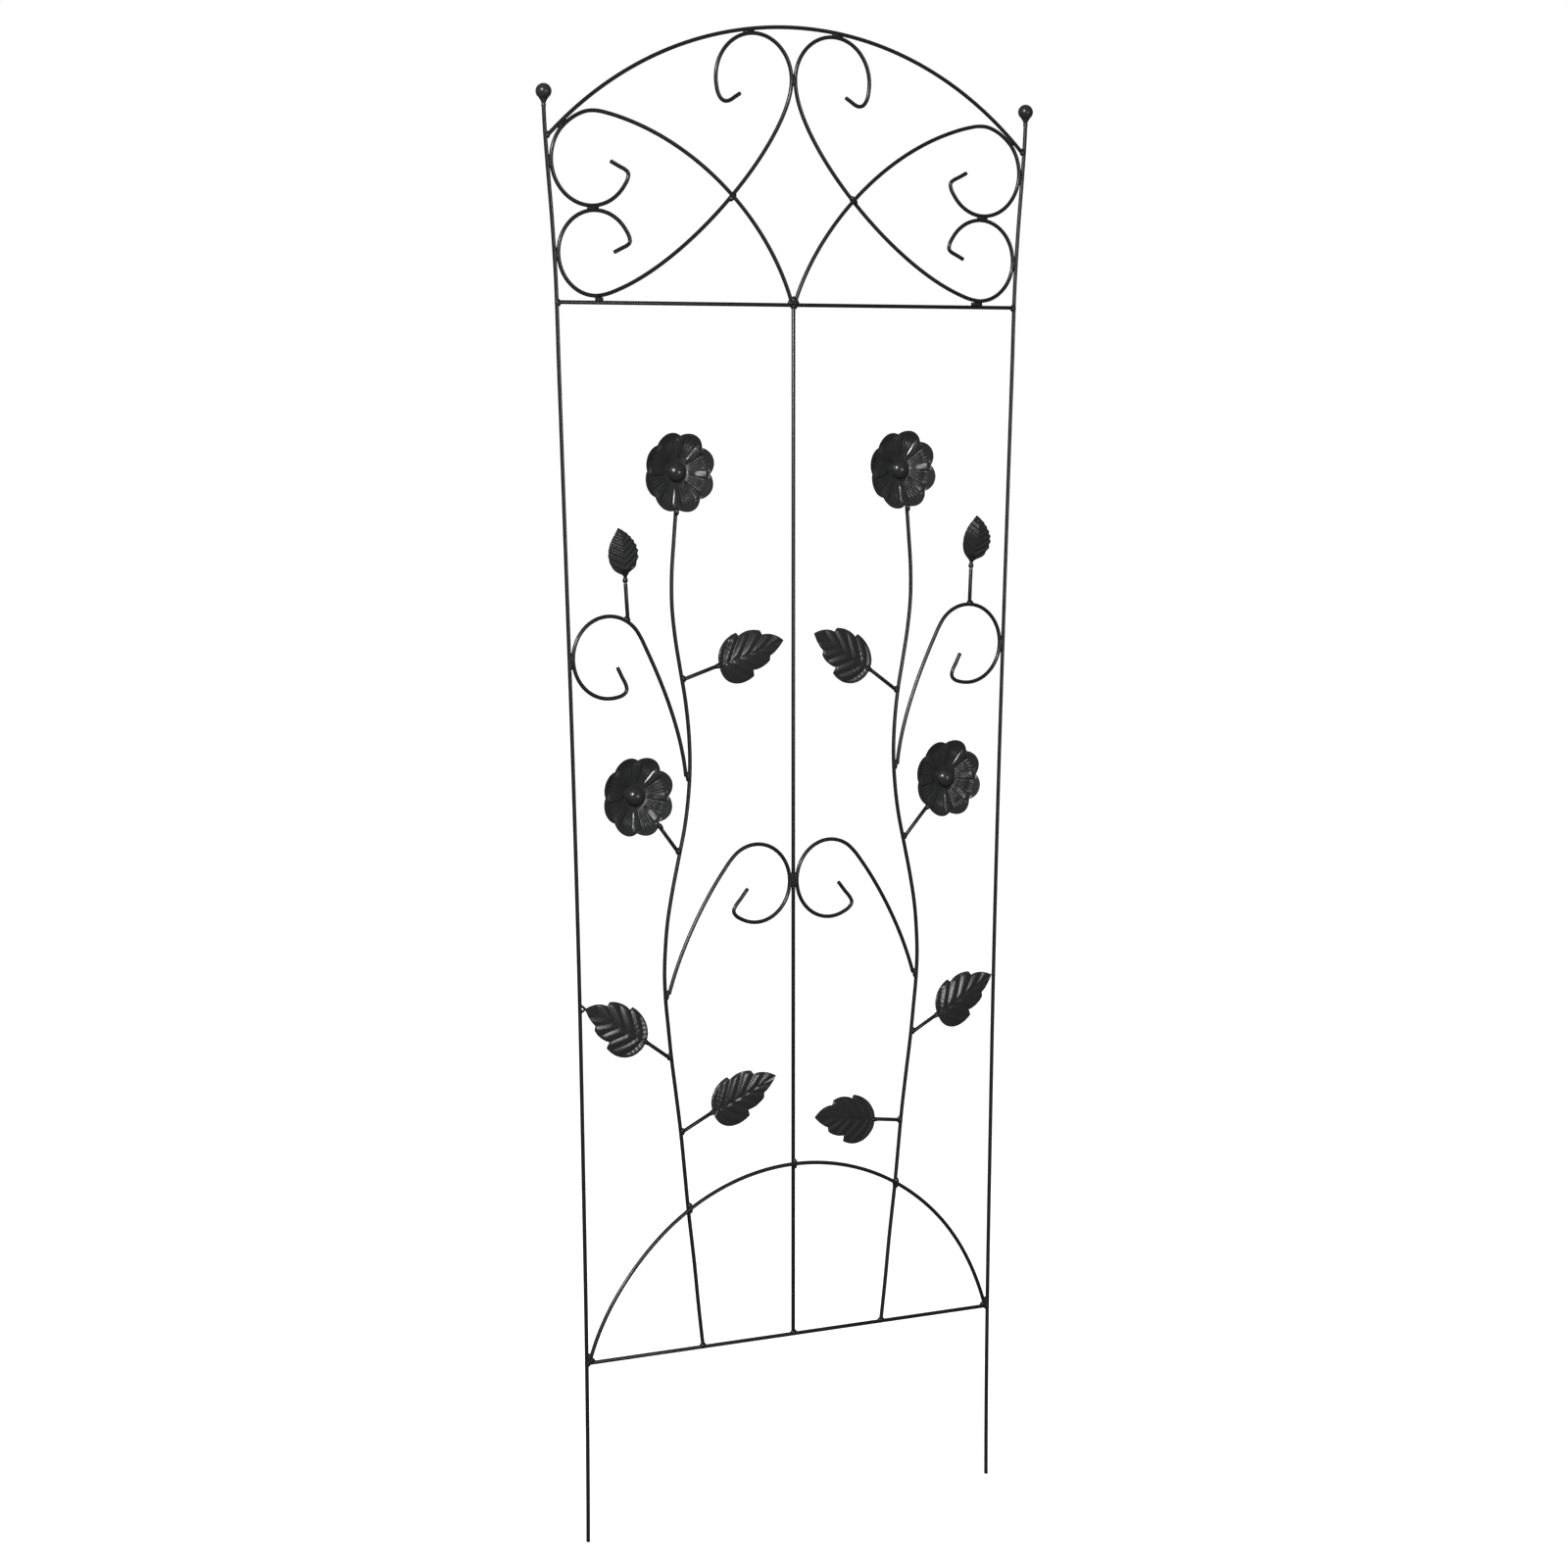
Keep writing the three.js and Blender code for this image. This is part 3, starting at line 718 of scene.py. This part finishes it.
def addLeaf(name):
    stalk = lines[name + "_leaf_stalk"]
    holder = min((stalk[0], stalk[-1]), key=lambda p: (p - nodeMiddle(name + "_leaf")).length)
    base, tip = leafEnds(name + "_leaf", holder)
    halves = [halfOutline(leaf[half], leaf["columns"]) for half in ("upper", "lower")]
    shell = leafGrid(*halves, leaf["columns"], leaf["rows"], leaf["slant"], leaf["length"])
    for v in shell.verts:
        v.co.z = leafRelief(v.co, v.co.z)
    along = placeLeaf(shell, base, tip, leaf["length"])
    closeSheet(shell, leaf["sheet"])
    addPiece(name + "_blade", shell, sheetCoat, [name + "_leaf"], 60)
    socket = bmesh.new()
    spin(socket, leaf["socket"], base, 20, along, forward)
    bmesh.ops.recalc_face_normals(socket, faces=socket.faces)
    if "outer" in name:
        addTipWelds(socket, tip, lines[name.split("_")[0] + "_post"])
    addPiece(name + "_socket", socket, weldCoat)


# Joins a leaf's tip to the post beside it; a tip that ends short gets a fork of two beads.
def addTipWelds(shell, tip, post):
    beside = min(post, key=lambda p: (p - tip).length_squared)
    short = (beside - tip).length > leaf["touching"]
    for height in (-leaf["fork"], leaf["fork"]) if short else (0,):
        end = beside + Vector((0, 0, height))
        run = end - tip
        addBead(shell, tip.lerp(end, 0.5), run.normalized(), forward,
                (run.length / mm / 2, *leaf["tipWeld"]))


def nodeMiddle(node):
    low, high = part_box(node)
    return (low + high) / 2


# Gives an open sheet its wall and closes it.
def closeSheet(shell, thickness):
    bmesh.ops.remove_doubles(shell, verts=shell.verts, dist=0.004 * mm)
    bmesh.ops.dissolve_degenerate(shell, edges=shell.edges, dist=0.002 * mm)
    thicken(shell, thickness)


for side in ("left", "right"):
    for place in ("upper_inner", "outer", "lower_inner"):
        addLeaf(side + "_" + place)
print("leaves ready")


bud = {
    "outline": [[(4, 0), (3, 12), (15, 17.6), (25, 16.6)], [(25, 16.6), (36, 15.2), (44, 6), (49, 0)]],
    "length": 49.0,
    "foot": 4.0,            # narrow part below the blade
    "columns": 120,
    "rows": 28,
    "slant": 0.62,
    "pleats": 7,
    "pleatPhase": (1.12, 0.12),     # stretch and start of the pleats along the length
    "pleatsGrow": (0.0, 0.1),
    "pleatsFade": (0.86, 1),
    "halfWidth": 17,
    "ridgeWidth": 18,
    "teethStart": 0.75,
    "knotLumps": 0.2,
    "pleatHeight": 0.9,
    "teeth": 0.9,
    "belly": {"left": 2.0, "right": 5.0},     # how far its middle stands forward
    "front": 0.8,
    "ridge": 2.2,           # how far the midrib is in front of the edges
    "sheet": 1.0,
    "knot": [(0, -3.0), (1.9, -2.7), (2.6, -1.5), (2.8, 0.0), (2.4, 1.5), (1.75, 2.6), (1.9, 3.6),
             (2.6, 5.0), (3.5, 6.4), (3.7, 7.6), (2.6, 9.0), (0, 9.8)],
}


def addBud(side):
    name = side + "_bud"
    knot = nodeMiddle(name + "_knot")
    base, tip = leafEnds(name, knot)
    half = halfOutline(bud["outline"], bud["columns"])
    stretch, start = bud["pleatPhase"]
    shell = leafGrid(half, half, bud["columns"], bud["rows"], bud["slant"], bud["length"])
    for v in shell.verts:
        spot, out = v.co.copy(), v.co.z
        place = (spot.x - bud["foot"]) / (bud["length"] - bud["foot"])
        phase = (spot.x - bud["slant"] * abs(spot.y)) / bud["length"] * stretch + start
        wave = 0.5 + 0.5 * cos(2 * pi * bud["pleats"] * phase)
        fade = smoothStep(*bud["pleatsGrow"], place) * (1 - smoothStep(*bud["pleatsFade"], place))
        edge = smoothStep(bud["teethStart"], 1.0, out)
        v.co.y *= 1 + bud["teeth"] / bud["halfWidth"] * (wave - 0.5) * edge * fade
        ridge = bud["ridge"] * (1 - abs(spot.y) / bud["ridgeWidth"]) * fade
        v.co.z = bud["front"] + bud["belly"][side] * sin(pi * min(1.0, max(0.0, place))) + ridge + (
            bud["pleatHeight"] * (wave - 0.5) * fade)
    placeLeaf(shell, base, tip, bud["length"])
    closeSheet(shell, bud["sheet"])
    addPiece(name + "_blade", shell, sheetCoat, [name], 60)
    way = (base - knot).normalized()
    lump = bmesh.new()
    spin(lump, bud["knot"], knot, 24, way, forward)
    for v in lump.verts:
        bump = noise.noise(v.co / welds["lump"])
        v.co += (v.co - knot).normalized() * bump * bud["knotLumps"] * mm
    bmesh.ops.recalc_face_normals(lump, faces=lump.faces)
    addPiece(name + "_neck", lump, weldCoat, [name + "_knot"])


for side in ("left", "right"):
    addBud(side)
print("buds ready")


spacer = {
    "taller": 1.6 * mm,     # than the node, so that it meets both rods
    "round": 0.7 * mm,
    "roughness": 0.3,
}


def addSpacer(side):
    low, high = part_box(side + "_spacer")
    block = bmesh.new()
    made = bmesh.ops.create_cube(block, size=1.0)["verts"]
    size = high - low + Vector((0, 0, spacer["taller"]))
    bmesh.ops.scale(block, vec=size, verts=made)
    bmesh.ops.bevel(block, geom=block.edges[:], offset=spacer["round"], offset_type="OFFSET",
                    affect="EDGES", segments=3, profile=0.5, material=-1)
    bmesh.ops.subdivide_edges(block, edges=block.edges[:], cuts=3, use_grid_fill=True)
    bmesh.ops.translate(block, vec=(low + high) / 2, verts=block.verts)
    for v in block.verts:
        bump = noise.noise(v.co / welds["lump"])
        v.co += Vector((1, 1, 0)) * bump * spacer["roughness"] * mm
    addPiece(side + "_pad", block, weldCoat, [side + "_spacer"])


def addFlowerWelds():
    shell = bmesh.new()
    inward, ahead = flower["weldPlace"]
    for name in flower["turns"]:
        low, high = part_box(name + "_flower")
        middle = Vector(((low.x + high.x) / 2, 0, (low.z + high.z) / 2))
        rod = name + "_flower_stalk" if "lower" in name else name.split("_")[0] + "_stem"
        end = min((lines[rod][0], lines[rod][-1]), key=lambda p: (p - middle).length)
        way = (middle - end).normalized()
        place = end + way * inward * mm + forward * ahead * mm
        addBead(shell, place, way, forward, flower["weld"])
    addPiece("flower_welds", shell, weldCoat)


for side in ("left", "right"):
    addSpacer(side)
addFlowerWelds()
print("spacers ready")


studio = {
    "floorSize": 400.0,
    "floorColour": (0.80, 0.80, 0.80, 1.0),
    "floorGlow": 1.0,
    "skyColour": (1.0, 1.0, 1.0, 1.0),
    "skyLight": 0.14,      # how bright the room is for the object
}

floorShell = bmesh.new()
bmesh.ops.create_grid(floorShell, x_segments=1, y_segments=1, size=studio["floorSize"])
floorMesh = bpy.data.meshes.new("floor")
floorShell.to_mesh(floorMesh)
floorShell.free()
floorCoat = Coat(bpy.data.materials.new("pale floor"))
floorMesh.materials.append(floorCoat.finish(
    Base_Color=studio["floorColour"], Roughness=0.9, Specular_IOR_Level=0.0,
    Emission_Color=(1, 1, 1, 1), Emission_Strength=studio["floorGlow"]))
floor = bpy.data.objects.new("floor", floorMesh)
bpy.context.scene.collection.objects.link(floor)
floor.visible_diffuse = False
floor.visible_glossy = False

world = bpy.data.worlds.new("studio")
room = Coat(world)
sky = room.node("ShaderNodeBackground", {}, {
    "Color": studio["skyColour"], "Strength": studio["skyLight"]})
backdrop = room.node("ShaderNodeBackground", {}, {"Color": studio["skyColour"], "Strength": 1.0})
seen = room.node("ShaderNodeLightPath", {}, {}, "Is Camera Ray")
either = room.node("ShaderNodeMixShader", {}, {0: seen, 1: sky, 2: backdrop})
room.feed(room.tree.nodes["World Output"].inputs["Surface"], either)
bpy.context.scene.world = world
bpy.context.scene.view_settings.view_transform = "Standard"

boxes = [
    # name, place, aim height, width, height, watts
    ("key softbox", (-3.2, -2.2, 2.9), 0.9, 0.6, 0.6, 220),
    ("front softbox", (0.6, -4.1, 1.1), 0.9, 0.9, 0.9, 46),
]
for name, place, aim, wide, high, watts in boxes:
    lamp = bpy.data.lights.new(name, "AREA")
    lamp.shape = "RECTANGLE"
    lamp.size = wide
    lamp.size_y = high
    lamp.energy = watts
    holder = bpy.data.objects.new(name, lamp)
    holder.location = place
    holder.rotation_euler = (Vector((0, 0, aim)) - Vector(place)).to_track_quat("-Z", "Y").to_euler()
    bpy.context.scene.collection.objects.link(holder)

view = {
    "place": (-2.2278, -3.4862, 1.1432),
    "yaw": 32.45,      # degrees to the right of straight ahead
    "down": 5.486,     # degrees below level
    "lens": 94.476,
}
lensData = bpy.data.cameras.new("camera")
lensData.lens = view["lens"]
lensData.sensor_width = 36
camera = bpy.data.objects.new("camera", lensData)
yaw, down = radians(view["yaw"]), radians(view["down"])
camera.location = view["place"]
camera.rotation_euler = Vector(
    (sin(yaw) * cos(down), cos(yaw) * cos(down), -sin(down))).to_track_quat("-Z", "Y").to_euler()
bpy.context.scene.collection.objects.link(camera)
bpy.context.scene.camera = camera
